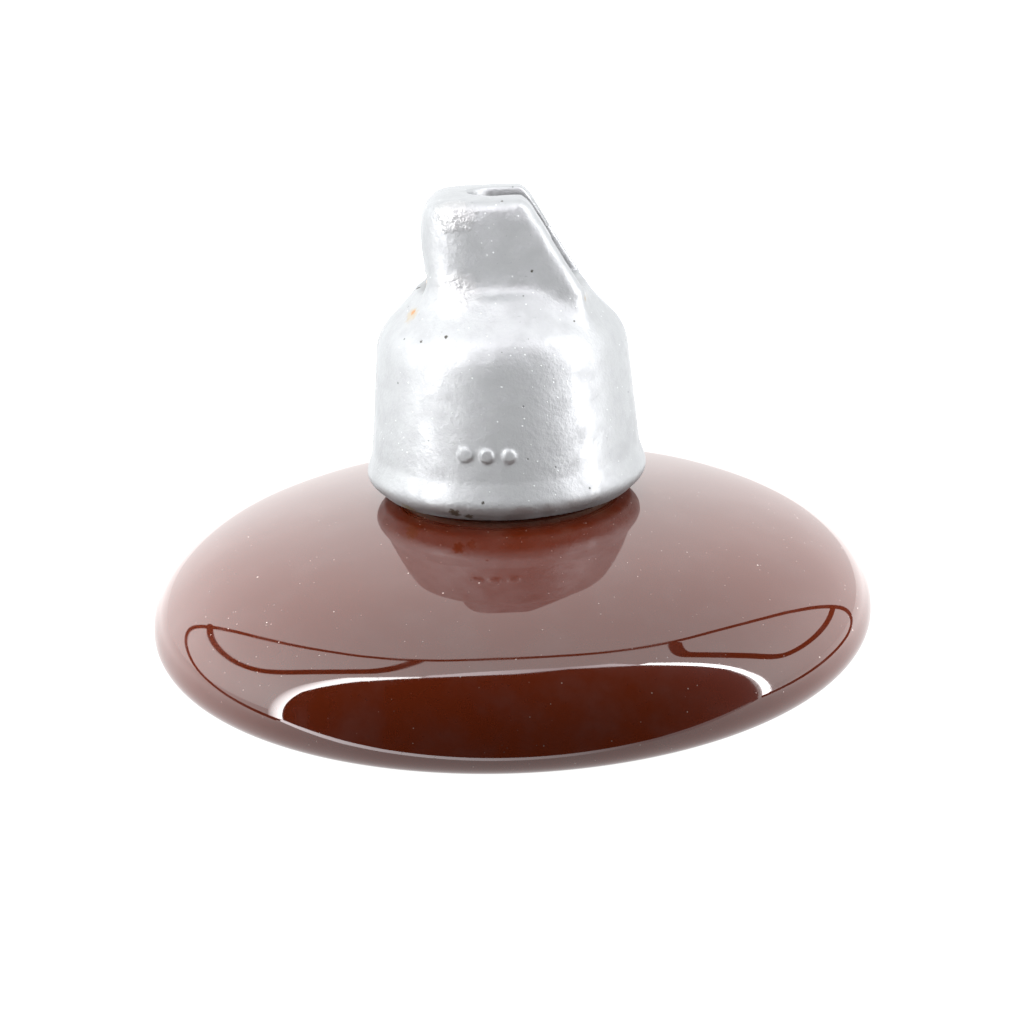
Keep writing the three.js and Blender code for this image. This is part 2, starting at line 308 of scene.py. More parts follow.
def porcelain_shell():
    """The porcelain with its glaze: disc, ribs, head, and the bore for the pin."""
    bore = rounded([(0, BORE_TOP_Z), (BORE_RADIUS, BORE_TOP_Z, 8), (BORE_RADIUS, BORE_BAND[0])])
    rim = arc((DISC_RADIUS - RIM_RADIUS, EQUATOR_Z), RIM_RADIUS, -90, 0, 20)
    head = rounded([
        (DOME_FOOT, dome_height(DOME_FOOT)),
        (HEAD_RADIUS, dome_height(HEAD_RADIUS), 2.5),
        (HEAD_RADIUS, HEAD_TOP_Z, HEAD_EDGE),
        (0, HEAD_TOP_Z),
    ])
    outline = bore + underside()[1:] + rim[1:] + dome(70) + head[1:]
    return turned("shell_glazed", outline, 240, longest=6)


# ---- Linings and cements ----------------------------------------------------------------------


def cap_bore(inset, low):
    """The cap's inner wall and ceiling from a height upwards, moved inwards by an inset."""
    top = CAP_BORE_TOP_Z - inset
    return rounded([
        (40 - inset, low),
        (40 - inset, 71),
        (41.6 - inset, 77),
        (40.4 - inset, 96),
        (38.6 - inset, 99),
        (38 - inset, 114, 8),
        (30 - inset, top, 8),
        (0, top),
    ])


def sleeve(name, inner, outer, low, high):
    """A plain tube."""
    outline = [(inner, low), (outer, low), (outer, high), (inner, high), (inner, low)]
    return turned(name, outline, 96)


def drum(name, radius, low, high):
    """A round disc with softened edges."""
    return turned(name, rounded([(0, low), (radius, low, 0.5), (radius, high, 0.5), (0, high)]), 64)


def cap_cement():
    """Cement between the head and the cap, with room for the grit band and the cushion."""
    low = dome_height(HEAD_RADIUS) + FIT
    plain = HEAD_RADIUS + FIT
    banded = plain + GRIT + FIT
    cushion = HEAD_CUSHION_RADIUS + FIT
    inside = rounded([
        (0, HEAD_TOP_Z + CUSHION + 2 * FIT),
        (cushion, HEAD_TOP_Z + CUSHION + 2 * FIT),
        (cushion, HEAD_TOP_Z + FIT),
        (plain, HEAD_TOP_Z + FIT, HEAD_EDGE),
        (plain, HEAD_BAND[1] + FIT),
        (banded, HEAD_BAND[1] + FIT),
        (banded, HEAD_BAND[0] - FIT),
        (plain, HEAD_BAND[0] - FIT),
        (plain, low + 3),
        (plain + 3, low),
        (38.5, low),
    ])
    outline = inside + cap_bore(COAT + 2 * FIT, CAP_EDGE_Z + 1)
    return turned("cement_under_cap", outline, 144, longest=3)


def pin_side(grown):
    """The side of the pin's tapered and flared top, moved outwards."""
    return rounded([
        (SHANK_RADIUS + grown, 44),
        (SHANK_RADIUS + grown, 52, 20),
        (10.4 + grown, 70, 12),
        (15.4 + grown, 89, 5),
        (14.6 + grown, 94),
    ])


def ball_pin():
    """The forged pin: ball, shank and flared top."""
    ball = rounded([
        (0, 0),
        (11, 0, 3),
        (BALL_RADIUS, 3.8, 4.5),
        (BALL_RADIUS, 9.6, 3.5),
        (13.2, BALL_HEIGHT, 1.5),
        (SHANK_RADIUS, BALL_HEIGHT, 1),
        (SHANK_RADIUS, 44),
    ])
    return turned("pin_forged", ball + pin_side(0)[1:] + [(14, PIN_TOP_Z), (0, PIN_TOP_Z)], 128, longest=3)


def pin_coat():
    """The thin bitumen coat on the part of the pin that sits in cement."""
    low = PIN_CEMENT_Z - 2
    outside = [(SHANK_RADIUS + FIT + COAT, low)] + pin_side(FIT + COAT)
    inside = [(SHANK_RADIUS + FIT, low)] + pin_side(FIT)
    outline = outside + inside[::-1]
    uneven = roughened(0, PIN_CEMENT_Z - 1, 0.35, 4, 5)
    return turned("pin_bitumen", outline + outline[:1], 96, shape=uneven)


def pin_cement():
    """Cement between the pin and the bore, rough where it shows below."""
    plain = BORE_RADIUS - FIT
    banded = plain - GRIT - FIT
    grown = COAT + 2 * FIT
    outside = rounded([
        (SHANK_RADIUS + grown, PIN_CEMENT_Z),
        (plain, PIN_CEMENT_Z, 1.2),
        (plain, BORE_BAND[0] - FIT),
        (banded, BORE_BAND[0] - FIT),
        (banded, BORE_BAND[1] + FIT),
        (plain, BORE_BAND[1] + FIT),
        (plain, BORE_TOP_Z - FIT, 8),
        (0, BORE_TOP_Z - FIT),
    ])
    inside = [(0, PIN_TOP_Z + CUSHION + 2 * FIT), (14 + grown, PIN_TOP_Z + CUSHION + 2 * FIT)]
    outline = inside + pin_side(grown)[::-1] + outside
    uneven = roughened(0, PIN_CEMENT_Z + 1, 0.22, 3, 9)
    return turned("cement_round_pin", outline, 144, longest=1.2, shape=uneven)


# ---- Iron cap ---------------------------------------------------------------------------------


def polygon_distance(u, v, corners):
    """Signed distance to a closed outline, negative inside."""
    best = np.full(u.shape, 1e18)
    inside = np.zeros(u.shape, bool)
    for (x0, y0), (x1, y1) in zip(corners, corners[1:] + corners[:1]):
        ex, ey = x1 - x0, y1 - y0
        wx, wy = u - x0, v - y0
        t = np.clip((wx * ex + wy * ey) / (ex * ex + ey * ey + 1e-18), 0, 1)
        best = np.minimum(best, (wx - t * ex) ** 2 + (wy - t * ey) ** 2)
        if y0 != y1:
            crosses = ((y0 <= v) != (y1 <= v)) & (wx < ex * wy / ey)
            inside ^= crosses
    return np.where(inside, -1, 1) * np.sqrt(best)


def joined(a, b, soft):
    """Smooth union."""
    h = np.maximum(soft - np.abs(a - b), 0) / soft
    return np.minimum(a, b) - h**3 * soft / 6


def shared(a, b, soft):
    """Smooth intersection."""
    return -joined(-a, -b, soft)


def box_distance(p, low, high):
    """Signed distance to a box."""
    low, high = np.array(low, float), np.array(high, float)
    q = np.abs(p - (low + high) / 2) - (high - low) / 2
    return np.linalg.norm(np.maximum(q, 0), axis=1) + np.minimum(q.max(axis=1), 0)


def drum_distance(p, radius, low, high):
    """Signed distance to an upright drum on the axis."""
    outward = np.hypot(p[:, 0], p[:, 1]) - radius
    upward = np.abs(p[:, 2] - (low + high) / 2) - (high - low) / 2
    q = np.stack([outward, upward], 1)
    return np.linalg.norm(np.maximum(q, 0), axis=1) + np.minimum(q.max(axis=1), 0)


BELL = rounded([
    (-60, CAP_EDGE_Z + 0.9),
    (44.4, CAP_EDGE_Z + 0.9, 1.6),
    (49.6, 72.9, 5.0),
    (46.9, 81.5, 4),
    (42.7, 123.2, 18),
    (28, 138, 6),
    (20, 140),
    (-60, 140),
], 8)
LINING = [(-60, 0), (40, 0)] + cap_bore(0, 40)[:-1] + [(-60, CAP_BORE_TOP_Z)]
HOOD_SIDE = rounded([
    (-25.4, 118),
    (-25.4, 142, 20),
    (-HOOD_BACK - 0.4, 158, 20),
    (-23.6, TOP_Z, 12),
    (8.8, TOP_Z, 3),
    (27.8, 138.3),
    (27.8, 118),
], 10)
HOOD_ABOVE = rounded([
    (60, -HOOD_HALF_WIDTH),
    (-HOOD_BACK, -HOOD_HALF_WIDTH, 19),
    (-HOOD_BACK, HOOD_HALF_WIDTH, 19),
    (60, HOOD_HALF_WIDTH),
], 10)
HOOD_FRONT = rounded([
    (HOOD_HALF_WIDTH, 100),
    (HOOD_HALF_WIDTH, 163),
    (HOOD_HALF_WIDTH - 1.5, TOP_Z - 1, 5),
    (0, TOP_Z + 0.4, 60),
    (1.5 - HOOD_HALF_WIDTH, TOP_Z - 1, 5),
    (-HOOD_HALF_WIDTH, 163),
    (-HOOD_HALF_WIDTH, 100),
], 10)
HOOD_SOFT = 8  # how widely each pair of cap surfaces is blended
HOOD_ROOT_SOFT = 9
PIP_SOFT = 0.9
OPENING_SOFT = 0.6
OPENING_EDGE_SOFT = 2.0
LINING_EDGE_SOFT = 1.2
PIPS = [(-13.4, 90.8), (-6.2, 90.6), (1.0, 90.4)]  # x and z of plain raised dots on the bell's front
PIP_RADIUS = 2.3
PIP_FACE = 46.2  # distance of the dots from the axis
PIP_HALF_DEPTH = 0.75
WELDS = [((-14, -23, 166), 5.5), ((-15, -25, 139.5), 6.5)]  # place and radius of rough patches

CAP_STAINS = [  # place, radius, colour
    ((-30, -17, 132.5), 2.6, (0.33, 0.30, 0.25)),
    ((-29.2, -16.4, 132.9), 0.9, RUST),
    ((-26.5, -30, 126), 0.55, SOOT),
    ((-26.6, -29.6, 127), 0.35, SOOT),
    ((-18, -33.5, 127.9), 0.6, SOOT),
    ((-19.5, -31.5, 129.4), 0.35, SOOT),
    # A small dark spot on the back of the hood, at the lower edge of the clip's window.
    ((-27.8, -1.7, 138), 0.9, SOOT),
    ((10.7, -23.7, 146.5), 0.4, SOOT),
    ((23.9, -27.2, 130.1), 0.35, SOOT),
    ((1.8, -20.4, 169.1), 0.4, SOOT),
    ((28, -20.5, 136.2), 0.8, TAN),
    ((30, -16, 137), 1.4, (0.32, 0.30, 0.27)),
    ((-17.5, -44, 71.4), 1.8, (0.10, 0.08, 0.06)),
    ((-13, -45.2, 69.5), 1.5, (0.11, 0.09, 0.07)),
    ((-33.1, -31, 68.1), 3.0, (0.26, 0.24, 0.17)),
    ((-8.1, -47.8, 75.5), 0.5, SOOT),
]


def cap_field(p):
    """Signed distance to the cap's iron, in millimetres."""
    x, y, z = p.T
    r = np.hypot(x, y)
    bell = polygon_distance(r, z, BELL)
    hood = shared(polygon_distance(x, z, HOOD_SIDE), polygon_distance(x, y, HOOD_ABOVE), HOOD_SOFT)
    hood = shared(hood, polygon_distance(y, z, HOOD_FRONT), HOOD_SOFT)
    iron = joined(bell, hood, HOOD_ROOT_SOFT)
    for px, pz in PIPS:
        reach = np.hypot(x - px, z - pz) - PIP_RADIUS
        depth = np.abs(r - PIP_FACE) - PIP_HALF_DEPTH
        pip = np.maximum(np.maximum(reach, depth), y)
        iron = joined(iron, pip, PIP_SOFT)
    iron = iron + 0.03 * smooth_noise(p, 22, 3) + 0.03 * smooth_noise(p, 7, 4)
    far = HOOD_BACK + 20
    cuts = [
        drum_distance(p, SOCKET_RADIUS, SOCKET_FLOOR_Z, SEAT_Z),
        box_distance(p, (0, -SOCKET_RADIUS, SOCKET_FLOOR_Z), (far + 20, SOCKET_RADIUS, ENTRY_TOP_Z)),
        drum_distance(p, NECK_RADIUS, ENTRY_TOP_Z - 1, TOP_Z + 20),
        box_distance(p, (0, -NECK_RADIUS, ENTRY_TOP_Z - 1), (far + 20, NECK_RADIUS, TOP_Z + 20)),
        box_distance(p, (POCKET_BACK, -SOCKET_RADIUS, SOCKET_FLOOR_Z), (0, SOCKET_RADIUS, POCKET_TOP_Z)),
        box_distance(p, (-far, -WINDOW_HALF_WIDTH, SOCKET_FLOOR_Z), (0, WINDOW_HALF_WIDTH, POCKET_TOP_Z)),
    ]
    opening = cuts[0]
    for cut in cuts[1:]:
        opening = joined(opening, cut, OPENING_SOFT)
    iron = shared(iron, -opening, OPENING_EDGE_SOFT)
    return shared(iron, -polygon_distance(r, z, LINING), LINING_EDGE_SOFT)


def sampled_field(field, low, high, step):
    """The field on a grid. Blocks far from the surface get one value each."""
    block = 6
    counts = np.ceil((np.array(high) - low) / step / block).astype(int) * block
    axes = [low[i] + step * np.arange(counts[i]) for i in range(3)]
    values = np.empty(counts)
    blocks = np.meshgrid(*[np.arange(c // block) for c in counts], indexing="ij")
    blocks = np.stack(blocks, -1).reshape(-1, 3)
    centres = np.array(low) + (blocks * block + (block - 1) / 2) * step
    middle = field(centres)
    near = np.abs(middle) < block * step * math.sqrt(3) / 2 * 1.3 + 1
    cells = np.stack(np.meshgrid(*[np.arange(block)] * 3, indexing="ij"), -1).reshape(-1, 3)
    for b, m in zip(blocks[~near] * block, middle[~near]):
        values[b[0]:b[0] + block, b[1]:b[1] + block, b[2]:b[2] + block] = m
    spots = (blocks[near][:, None] * block + cells[None]).reshape(-1, 3)
    for part in np.array_split(spots, max(1, len(spots) // 200000)):
        at = np.stack([axes[i][part[:, i]] for i in range(3)], 1)
        values[part[:, 0], part[:, 1], part[:, 2]] = field(at)
    return values


CORNERS = np.array([(i, j, k) for i in (0, 1) for j in (0, 1) for k in (0, 1)])


def surface_net(values, low, step):
    """Points and quads of the zero surface: one point in each cell that the surface crosses."""
    inside = values < 0
    shape = np.array(values.shape) - 1
    nx, ny, nz = shape
    count = sum(inside[i:i + nx, j:j + ny, k:k + nz].astype(int) for i, j, k in CORNERS)
    cells = np.argwhere((count > 0) & (count < 8))
    number = np.full(shape, -1)
    number[tuple(cells.T)] = np.arange(len(cells))
    total = np.zeros((len(cells), 3))
    hits = np.zeros(len(cells))
    for a in CORNERS:
        for axis in range(3):
            if a[axis]:
                continue
            b = a + np.eye(3, dtype=int)[axis]
            va, vb = values[tuple((cells + a).T)], values[tuple((cells + b).T)]
            crossed = (va < 0) != (vb < 0)
            share = np.where(crossed, va / np.where(crossed, va - vb, 1), 0)
            total += crossed[:, None] * (a + share[:, None] * (b - a))
            hits += crossed
    points = np.array(low) + (cells + total / hits[:, None]) * step
    quads = []
    for axis in range(3):
        u, v = np.eye(3, dtype=int)[(axis + 1) % 3], np.eye(3, dtype=int)[(axis + 2) % 3]
        ahead = [slice(None)] * 3
        behind = [slice(None)] * 3
        ahead[axis], behind[axis] = slice(1, None), slice(None, -1)
        edges = np.argwhere(inside[tuple(behind)] != inside[tuple(ahead)])
        edges = edges[(edges[:, (axis + 1) % 3] > 0) & (edges[:, (axis + 2) % 3] > 0)]
        ring = np.stack([number[tuple((edges - d).T)] for d in (u + v, v, 0 * u, u)], 1)
        starts_inside = inside[tuple(edges.T)]
        quads.append(np.where(starts_inside[:, None], ring, ring[:, ::-1]))
    return points, np.concatenate(quads)


def settled(field, points, rounds, reach):
    """Points moved onto the field's zero surface along its slope."""
    for _ in range(rounds):
        value = field(points)
        slope = np.stack([field(points + d) - field(points - d) for d in np.eye(3) * 0.05], 1) / 0.1
        size = np.maximum((slope**2).sum(1), 0.25)
        points = points - np.clip(value / size, -reach, reach)[:, None] * slope
    return points


def socket_cap():
    """The cast cap, meshed from its distance field."""
    values = sampled_field(cap_field, CAP_GRID_LOW, CAP_GRID_HIGH, CAP_STEP)
    points, quads = surface_net(values, CAP_GRID_LOW, CAP_STEP)
    return make_object("cap_cast", settled(cap_field, points, 2, CAP_STEP / 2), quads, sharp_angle=180)


# ---- Locking clip -----------------------------------------------------------------------------


def locking_clip():
    """The clip: round wire swept along a W, with its ends rounded."""
    half = rounded([
        (2.2, 14.9),
        (-2.6, 10.6, 3),
        (-22.4, 10.6, 3),
        (-22.4, 4.4, 3),
        (-12, 3.6, 6),
        (-0.4, 6, 4.4),
        (-0.4, 0),
    ], 10)
    line = np.array(subdivided(half + [(x, -y) for x, y in half[-2::-1]], 0.8))
    along = np.gradient(line, axis=0)
    along /= np.linalg.norm(along, axis=1)[:, None]
    turns = np.arange(WIRE_SIDES) * 2 * math.pi / WIRE_SIDES
    stations = [(line[0] - along[0] * WIRE_RADIUS * math.sin(a), along[0], math.cos(a))
                for a in np.radians(WIRE_END_ANGLES)]
    stations += [(p, d, 1.0) for p, d in zip(line, along)]
    stations += [(line[-1] + along[-1] * WIRE_RADIUS * math.sin(a), along[-1], math.cos(a))
                 for a in np.radians(WIRE_END_ANGLES[::-1])]
    points = []
    for at, way, size in stations:
        for a in turns:
            side, up = WIRE_RADIUS * size * math.cos(a), WIRE_RADIUS * size * math.sin(a)
            points.append((at[0] - way[1] * side, at[1] + way[0] * side, CLIP_Z + up))
    faces = []
    for i in range(len(stations) - 1):
        here, ahead = i * WIRE_SIDES, (i + 1) * WIRE_SIDES
        for k in range(WIRE_SIDES):
            m = (k + 1) % WIRE_SIDES
            faces.append([here + k, here + m, ahead + m, ahead + k])
    faces.append(list(range(WIRE_SIDES))[::-1])
    faces.append([(len(stations) - 1) * WIRE_SIDES + k for k in range(WIRE_SIDES)])
    return make_object("clip_wire", points, faces, sharp_angle=80)


# ---- Materials --------------------------------------------------------------------------------


def set_range(node, limits):
    """Sets a Map Range node: from low and high, to low and high."""
    for key, number in zip(("From Min", "From Max", "To Min", "To Max"), limits):
        node.inputs[key].default_value = number


class Surface:
    """A Principled material, with short ways to add procedural patterns in object space."""

    def __init__(self, name, color, roughness, metallic=0.0, ior=1.5):
        self.material = bpy.data.materials.new(name)
        self.material.use_nodes = True
        self.tree = self.material.node_tree
        self.shader = self.tree.nodes["Principled BSDF"]
        self.shader.inputs["Base Color"].default_value = (*color, 1)
        self.shader.inputs["Roughness"].default_value = roughness
        self.shader.inputs["Metallic"].default_value = metallic
        self.shader.inputs["IOR"].default_value = ior
        self.place = self.node("ShaderNodeTexCoord").outputs["Object"]
        self.height = None

    def node(self, kind, **settings):
        """Adds a node with some of its settings."""
        made = self.tree.nodes.new(kind)
        for key, value in settings.items():
            setattr(made, key, value)
        return made

    def link(self, source, target):
        """Connects an output to an input."""
        self.tree.links.new(source, target)

    def noise(self, size, detail=3.0, roughness=0.55):
        """Noise with features of about `size` millimetres."""
        made = self.node("ShaderNodeTexNoise")
        made.inputs["Scale"].default_value = 1000 / size
        made.inputs["Detail"].default_value = detail
        made.inputs["Roughness"].default_value = roughness
        self.link(self.place, made.inputs["Vector"])
        return made.outputs["Fac"]

    def outward(self):
        """Distance from the part's axis, in metres."""
        flat = self.node("ShaderNodeVectorMath", operation="MULTIPLY")
        self.link(self.place, flat.inputs[0])
        flat.inputs[1].default_value = (1, 1, 0)
        length = self.node("ShaderNodeVectorMath", operation="LENGTH")
        self.link(flat.outputs["Vector"], length.inputs[0])
        return length.outputs["Value"]

    def cells(self, size):
        """Cells about `size` millimetres across."""
        made = self.node("ShaderNodeTexVoronoi")
        made.inputs["Scale"].default_value = 1000 / size
        self.link(self.place, made.inputs["Vector"])
        return made

    def ramp(self, value, low, high, out_low=0.0, out_high=1.0):
        """A smooth step from one number to another as the value goes from low to high."""
        made = self.node("ShaderNodeMapRange", interpolation_type="SMOOTHSTEP")
        set_range(made, (low, high, out_low, out_high))
        self.link(value, made.inputs["Value"])
        return made.outputs["Result"]

    def math(self, operation, a, b):
        """One arithmetic step on two values, each a number or an output."""
        made = self.node("ShaderNodeMath", operation=operation)
        for socket, value in zip(made.inputs, (a, b)):
            if isinstance(value, (int, float)):
                socket.default_value = value
            else:
                self.link(value, socket)
        return made.outputs["Value"]

    def spot(self, centre, radius, edge=0.5, ragged=0.6):
        """1 inside a ball in the row frame, fading to 0 over `edge` of its radius; uneven outline."""
        away = self.node("ShaderNodeVectorMath", operation="DISTANCE")
        self.link(self.place, away.inputs[0])
        away.inputs[1].default_value = [c * MM for c in centre]
        push = self.ramp(self.noise(radius * 0.8), 0.3, 0.7, 0, radius * ragged * MM)
        reach = self.math("ADD", away.outputs["Value"], push)
        return self.ramp(reach, radius * MM, radius * (1 + edge) * MM, 1, 0)

    def tint(self, mask, color):
        """Lays a colour over the base colour where the mask is 1."""
        target = self.shader.inputs["Base Color"]
        mix = self.node("ShaderNodeMix", data_type="RGBA")
        if target.links:
            self.link(target.links[0].from_socket, mix.inputs["A"])
        else:
            mix.inputs["A"].default_value = target.default_value
        mix.inputs["B"].default_value = (*color, 1)
        self.link(mask, mix.inputs["Factor"])
        self.link(mix.outputs["Result"], target)

    def vary(self, name, mask, low, high):
        """Drives a shader input between two numbers."""
        self.link(self.ramp(mask, 0, 1, low, high), self.shader.inputs[name])

    def relief(self, value, depth):
        """Adds bumps `depth` millimetres high."""
        scaled = self.math("MULTIPLY", value, depth * MM)
        self.height = scaled if self.height is None else self.math("ADD", self.height, scaled)

    def done(self):
        """The finished material, with its bumps connected."""
        if self.height is not None:
            bump = self.node("ShaderNodeBump")
            bump.inputs["Strength"].default_value = 1
            bump.inputs["Distance"].default_value = 1
            self.link(self.height, bump.inputs["Height"])
            self.link(bump.outputs["Normal"], self.shader.inputs["Normal"])
        return self.material


def glaze():
    """Red-brown glaze of uneven depth, with dust on it and a film of handling near the cap."""
    s = Surface("red_brown_glaze", GLAZE, 0.03, ior=1.64)
    s.tint(s.ramp(s.noise(45, 2), 0.35, 0.7, 0, 0.6), GLAZE_PALE)
    s.tint(s.ramp(s.noise(1.2, 2), 0.62, 0.75, 0, 0.3), GLAZE_DEEP)
    near_cap = s.ramp(s.outward(), 62 * MM, 44 * MM)
    patches = s.math("MAXIMUM", s.ramp(s.noise(30), 0.36, 0.62, 0.1, 0.9), near_cap)
    dust = s.math("MULTIPLY", s.ramp(s.cells(3.2).outputs["Distance"], 0.05, 0.085, 1, 0), patches)
    coarse = s.math("MULTIPLY", s.ramp(s.cells(11).outputs["Distance"], 0.02, 0.032, 1, 0), 0.9)
    specks = s.math("MAXIMUM", s.math("MULTIPLY", dust, 0.55), coarse)
    s.tint(specks, DUST)
    film = s.math("MULTIPLY", near_cap, s.ramp(s.noise(7, 5, 0.7), 0.45, 0.75, 0, 0.10))
    s.tint(film, HANDLING_FILM)
    s.tint(s.ramp(s.noise(16, 4, 0.6), 0.4, 0.8, 0, 0.035), HAZE)
    s.vary("Roughness", s.ramp(s.noise(25), 0.4, 0.75), 0.03, 0.07)
    s.relief(s.noise(60, 1), 0.35)
    s.relief(s.noise(9, 1), 0.006)
    s.relief(specks, 0.02)
    return s.done()


def scaled(color, share):
    """A colour made darker or lighter, within what a surface can reflect."""
    return tuple(min(c * share, 0.9) for c in color)


def zinc(name, color, roughness, metallic, dirt):
    """Hot-dip zinc on a forging or casting, with spangle, pits, raised specks lightened as painted glints,
    and rusty dirt.
    """
    s = Surface(name, color, roughness, metallic)
    s.tint(s.ramp(s.noise(16, 3), 0.40, 0.72, 0, 0.4), scaled(color, 0.90))
    s.tint(s.ramp(s.cells(2.6).outputs["Color"], 0.3, 0.9, 0, 0.2), scaled(color, 1.10))
    s.tint(s.ramp(s.noise(1.1, 3, 0.7), 0.63, 0.74, 0, 0.35), scaled(color, 0.55))
    s.tint(s.ramp(s.noise(6, 5, 0.7), 0.68, 0.82, 0, dirt), ZINC_DIRT)
    pits = s.ramp(s.cells(8).outputs["Distance"], 0.035, 0.06, 1, 0)
    specks_and_glints = s.ramp(s.cells(3.0).outputs["Distance"], 0.06, 0.11, 1, 0)
    specks_and_glints = s.math("MULTIPLY", specks_and_glints, s.ramp(s.noise(12), 0.36, 0.52))
    s.tint(s.math("MULTIPLY", pits, 0.75), scaled(color, 0.25))
    # Painted glints: the raised specks are made lighter than the zinc.
    s.tint(s.math("MULTIPLY", specks_and_glints, 0.5), scaled(color, 2.1))
    s.vary("Roughness", s.ramp(s.noise(8, 4), 0.3, 0.75), roughness - 0.06, roughness + 0.08)
    s.relief(s.noise(1.3, 2, 0.6), 0.14)
    s.relief(s.noise(3.2, 2), 0.12)
    s.relief(s.noise(8, 2), 0.02)
    s.relief(specks_and_glints, 0.08)
    s.relief(pits, -0.12)
    return s


def cap_zinc():
    """The cap's zinc, with rough patches, painted shade inside the socket and its own stains."""
    s = zinc("cap_zinc", CAP_ZINC, 0.53, 1.0, 0.15)
    s.shader.inputs["Specular Tint"].default_value = (*CAP_ZINC_EDGE, 1)
    for place, size in WELDS:
        patch = s.math("MULTIPLY", s.spot(place, size, 0.8), s.noise(2.6, 3, 0.6))
        s.relief(patch, 0.8)
        s.tint(s.math("MULTIPLY", patch, 0.5), WELD)
    # Painted shade: the inside of the socket is darkened, a soft ball round its middle.
    s.tint(s.spot((2, 0, 150), 15, 0.55, 0.1), SOCKET_PAINTED_SHADE)
    for place, size, color in CAP_STAINS:
        s.tint(s.spot(place, size, 0.7), color)
    return s.done()


def cement():
    """Sandy cement with dark pores."""
    s = Surface("portland_cement", CEMENT, 0.92)
    s.tint(s.ramp(s.noise(6, 5), 0.4, 0.7), CEMENT_DARK)
    s.tint(s.ramp(s.noise(0.8, 2), 0.6, 0.7, 0, 0.7), CEMENT_PORE)
    s.relief(s.noise(1.5, 4, 0.7), 0.35)
    return s.done()


def bitumen():
    """Black bitumen paint, brushed on unevenly."""
    s = Surface("bitumen", BITUMEN, 0.5)
    s.vary("Roughness", s.ramp(s.noise(5, 4), 0.3, 0.7), 0.35, 0.65)
    s.relief(s.noise(2.5, 3), 0.12)
    return s.done()


def grit():
    """Porcelain grit fired onto the body."""
    s = Surface("fired_grit", GRIT_LIGHT, 0.95)
    s.tint(s.ramp(s.cells(0.9).outputs["Distance"], 0.2, 0.5), GRIT_DARK)
    s.relief(s.cells(0.9).outputs["Distance"], 0.5)
    return s.done()


def cork():
    """Pressed cork crumbs."""
    s = Surface("pressed_cork", CORK, 0.85)
    s.tint(s.ramp(s.cells(2.2).outputs["Color"], 0.2, 0.8), CORK_DARK)
    s.relief(s.cells(2.2).outputs["Distance"], 0.2)
    return s.done()


def bronze():
    """Bronze wire, dull in patches."""
    s = Surface("bronze_wire", BRONZE, 0.3, metallic=1.0)
    s.tint(s.ramp(s.noise(5, 4), 0.45, 0.7, 0, 0.7), BRONZE_TARNISH)
    s.vary("Roughness", s.ramp(s.noise(3, 3), 0.3, 0.7), 0.22, 0.42)
    s.relief(s.noise(1.5, 2), 0.02)
    return s.done()


# ---- The object -------------------------------------------------------------------------------

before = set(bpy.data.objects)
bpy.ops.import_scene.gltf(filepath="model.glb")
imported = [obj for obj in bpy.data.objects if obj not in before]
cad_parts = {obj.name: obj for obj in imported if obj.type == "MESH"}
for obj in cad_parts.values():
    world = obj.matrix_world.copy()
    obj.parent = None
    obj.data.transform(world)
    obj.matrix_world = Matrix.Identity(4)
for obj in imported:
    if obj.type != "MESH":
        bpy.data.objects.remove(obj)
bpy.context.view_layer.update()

finishes = {
    "glaze": glaze(),
    "grit": grit(),
    "cap_iron": cap_zinc(),
    "pin_steel": zinc("pin_zinc", PIN_ZINC, 0.42, 0.9, 0.5).done(),
    "bitumen": bitumen(),
    "cement": cement(),
    "cork": cork(),
    "clip_bronze": bronze(),
}


def stands_for(item, node, slot, body="unit"):
    """Puts a finished piece in the place of its CAD node."""
    item.data.materials.clear()
    item.data.materials.append(finishes[slot])
    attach(item, body)
    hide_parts(node)


coat_low = CAP_EDGE_Z + 1
coat_outline = cap_bore(FIT + COAT, coat_low)[::-1] + cap_bore(FIT, coat_low)
head_wall = HEAD_RADIUS + FIT
bore_wall = BORE_RADIUS - FIT
stands_for(porcelain_shell(), "porcelain_shell", "glaze")
stands_for(sleeve("head_grit", head_wall, head_wall + GRIT, *HEAD_BAND), "head_sand_band", "grit")
stands_for(sleeve("bore_grit", bore_wall - GRIT, bore_wall, *BORE_BAND), "bore_sand_band", "grit")
stands_for(socket_cap(), "socket_cap", "cap_iron")
stands_for(turned("cap_bitumen", coat_outline, 96), "cap_bitumen_coat", "bitumen")
stands_for(cap_cement(), "cap_cement", "cement")
stands_for(
    drum("cushion_on_head", HEAD_CUSHION_RADIUS, HEAD_TOP_Z + FIT, HEAD_TOP_Z + FIT + CUSHION),
    "head_cushion", "cork",
)
stands_for(ball_pin(), "ball_pin", "pin_steel")
stands_for(pin_coat(), "pin_bitumen_coat", "bitumen")
stands_for(pin_cement(), "pin_cement", "cement")
stands_for(
    drum("cushion_on_pin", PIN_CUSHION_RADIUS, PIN_TOP_Z + FIT, PIN_TOP_Z + FIT + CUSHION),
    "pin_end_cushion", "cork",
)
stands_for(locking_clip(), "locking_clip", "clip_bronze", "clip")

# ---- Stage: a hooped white light tent, open at the front to a dark room ------------------------


def emitter(name, color, strength):
    """A plain glowing material."""
    material = bpy.data.materials.new(name)
    material.use_nodes = True
    tree = material.node_tree
    tree.nodes.clear()
    light = tree.nodes.new("ShaderNodeEmission")
    light.inputs["Color"].default_value = (*color, 1)
    light.inputs["Strength"].default_value = strength
    output = tree.nodes.new("ShaderNodeOutputMaterial")
    tree.links.new(light.outputs["Emission"], output.inputs["Surface"])
    return material


def unseen(item, diffuse):
    """Part of the tent: it lights and is reflected, and the camera looks through it."""
    item.visible_camera = False
    item.visible_diffuse = diffuse
    item.visible_shadow = False


